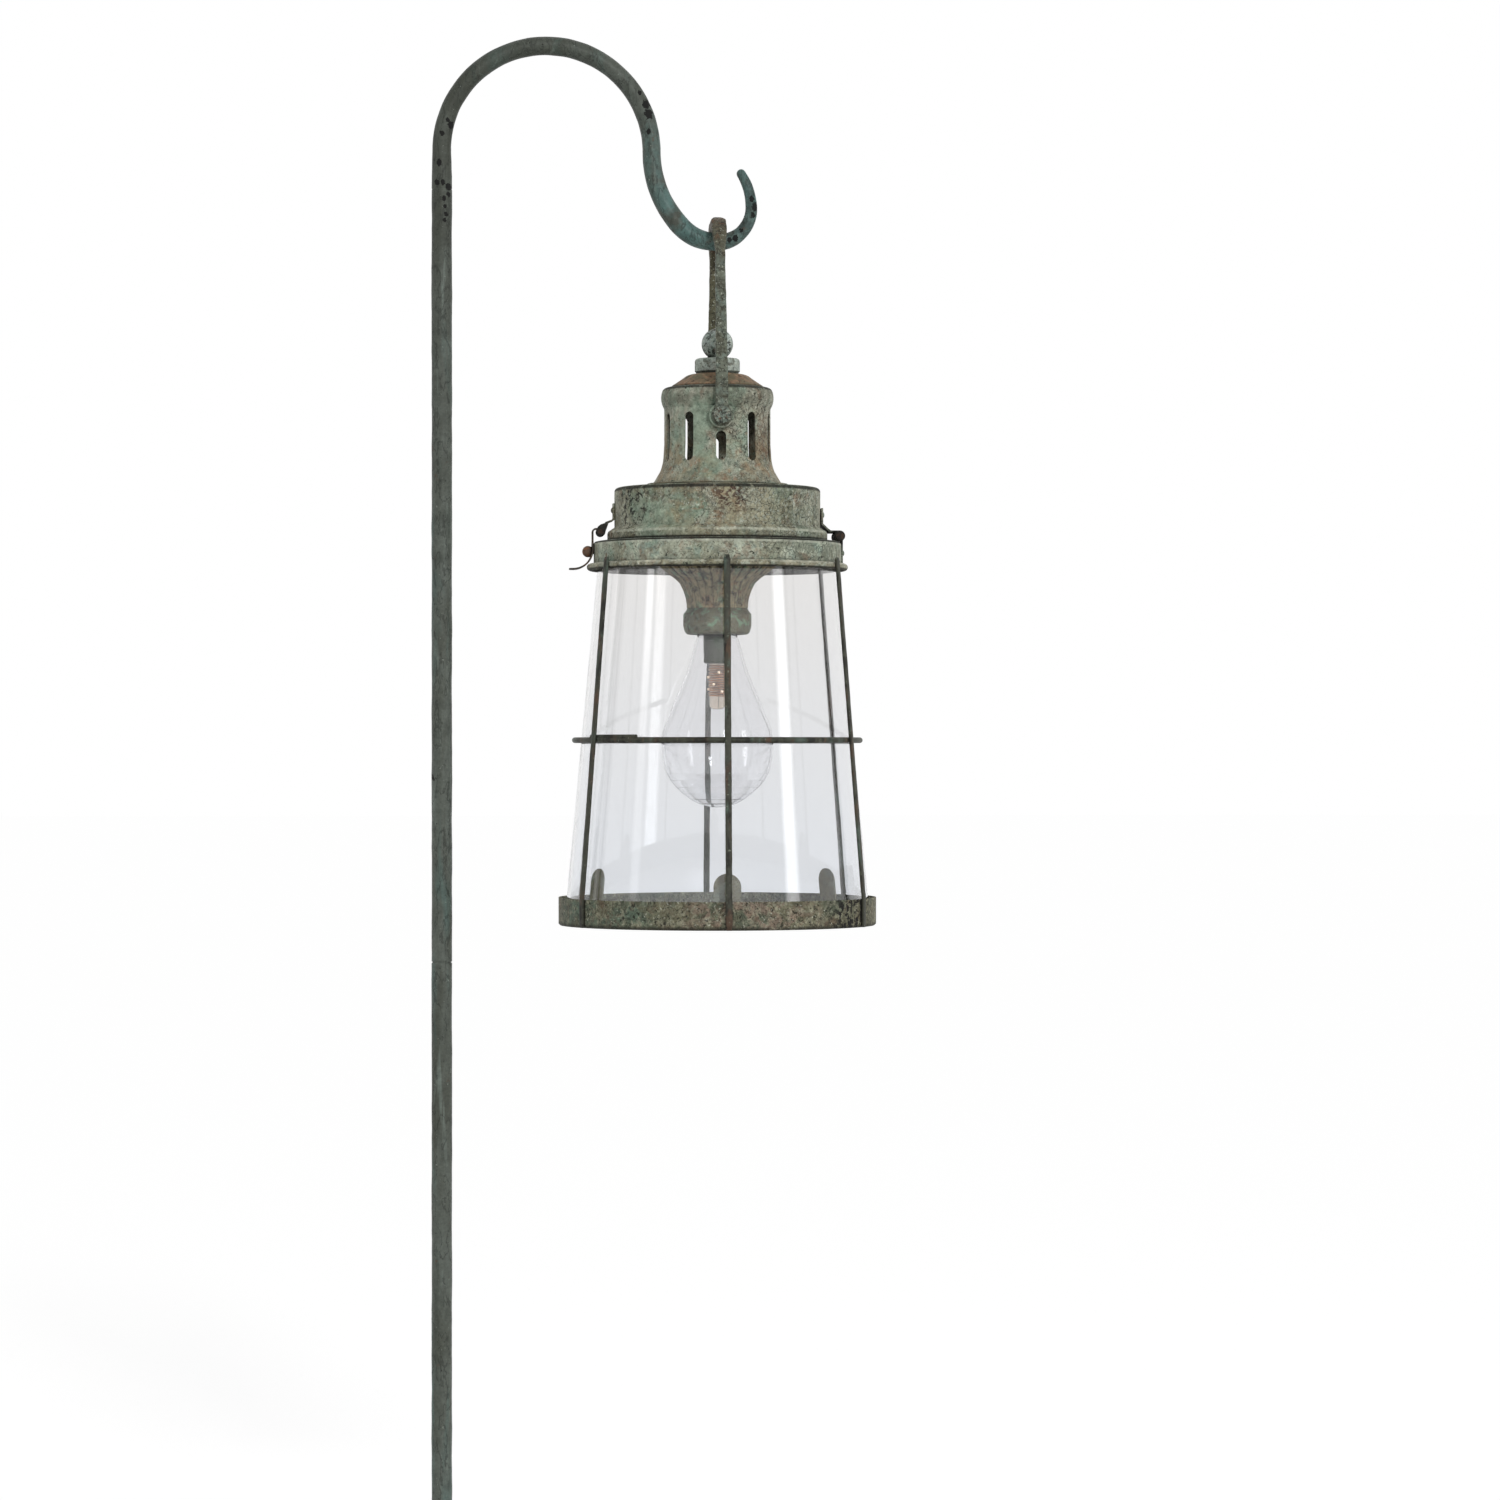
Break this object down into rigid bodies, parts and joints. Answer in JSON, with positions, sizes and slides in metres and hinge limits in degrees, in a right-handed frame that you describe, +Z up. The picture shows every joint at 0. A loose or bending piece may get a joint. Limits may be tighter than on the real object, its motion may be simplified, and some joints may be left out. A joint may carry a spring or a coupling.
{
  "type": "lantern floor lamp",
  "caption": "Floor lamp: round foot, steel pole with a forged crook, and a hinged glass lantern with a battery light that swings on its bail.",
  "frame": {"origin": "centre of the foot pad's underside, on the pole's axis", "axes": "+Z up along the pole, +X from the pole towards the lantern, -Y towards the viewer"},
  "size_m": [0.5542, 0.32, 1.5699],
  "materials": {
    "rubber": "matte",
    "cast_foot": "aged paint",
    "fastener_steel": "satin",
    "pole_patina": "satin, aged",
    "bail_patina": "aged verdigris",
    "sheet_patina": "aged verdigris",
    "rust_patina": "rust brown",
    "rivet_patina": "aged",
    "black_iron": "blackened",
    "hasp_spring": "browned",
    "cage_patina": "aged olive brown",
    "inner_sheet": "aged olive",
    "brass": "satin",
    "clear_glass": "clear",
    "clear_plastic": "clear",
    "light_points": "gloss",
    "black_plastic": "matte",
    "cell_case": "gloss sleeve",
    "switch_plastic": "matte"
  },
  "bodies": {
    "stand": {"base_pad": "rubber", "base_plate": "cast_foot", "base_socket": "cast_foot", "base_bolt": "fastener_steel", "base_washer": "fastener_steel", "pole_plug": "fastener_steel", "lower_pole": "pole_patina", "pole_joiner": "fastener_steel", "upper_pole": "pole_patina", "crook": "pole_patina"},
    "bail": {"bail": "bail_patina"},
    "lid": {"finial_ball": "sheet_patina", "top_hub": "rust_patina", "vent_dome": "rust_patina", "finial_stud": "fastener_steel", "stud_nut": "fastener_steel", "top_bridge": "inner_sheet", "vent_chimney": "sheet_patina", "chimney_rivets": "rivet_patina", "pivot_bosses": "sheet_patina", "pivot_screws": "rivet_patina", "lid_drum": "sheet_patina", "hinge_leaf_lid": "black_iron", "hinge_pin": "fastener_steel", "hasp_bracket": "black_iron", "hasp_pin": "fastener_steel", "lid_rivets": "rivet_patina"},
    "hasp": {"hasp_strap": "hasp_spring"},
    "cage": {"collar": "sheet_patina", "collar_bead": "cage_patina", "hinge_leaf_collar": "black_iron", "collar_rivets": "rivet_patina", "catch_stud": "hasp_spring", "cage_bar_1": "cage_patina", "cage_bar_2": "cage_patina", "cage_bar_3": "cage_patina", "cage_bar_4": "cage_patina", "cage_bar_5": "cage_patina", "cage_bar_6": "cage_patina", "mid_ring": "cage_patina", "bottom_band": "cage_patina", "floor_pan": "cage_patina", "glass_tabs": "cage_patina", "lower_gasket": "rubber", "upper_gasket": "rubber", "glass_chimney": "clear_glass", "lamp_deck": "inner_sheet", "canopy": "inner_sheet", "gallery_cup": "inner_sheet", "lamp_tube": "brass", "lamp_sleeve": "inner_sheet", "light_stick": "clear_plastic", "led_beads": "light_points", "bulb_glass": "clear_glass", "neck_gasket": "rubber", "battery_box": "black_plastic", "battery_cells": "cell_case", "battery_contacts": "fastener_steel", "battery_lid": "black_plastic"},
    "switch": {"switch_slider": "switch_plastic"}
  },
  "joints": [
    {"name": "bail_swing", "type": "hinge", "parent": "stand", "child": "bail", "pos_m": [0.24992, 0, 1.38459], "axis": [1, 0, 0], "range_deg": [-20, 20]},
    {"name": "lantern_swing", "type": "hinge", "parent": "bail", "child": "lid", "pos_m": [0.24992, 0, 1.22359], "axis": [0, 1, 0], "range_deg": [-25, 10]},
    {"name": "cage_hinge", "type": "hinge", "parent": "lid", "child": "cage", "pos_m": [0.36032, 0, 1.11744], "axis": [0, -1, 0], "range_deg": [0, 95]},
    {"name": "hasp_hinge", "type": "hinge", "parent": "lid", "child": "hasp", "pos_m": [0.14362, 0, 1.12069], "axis": [0, 1, 0], "range_deg": [0, 100]},
    {"name": "switch_slide", "type": "slide", "parent": "cage", "child": "switch", "axis": [0, 1, 0], "range_m": [0, 0.004]}
  ]
}
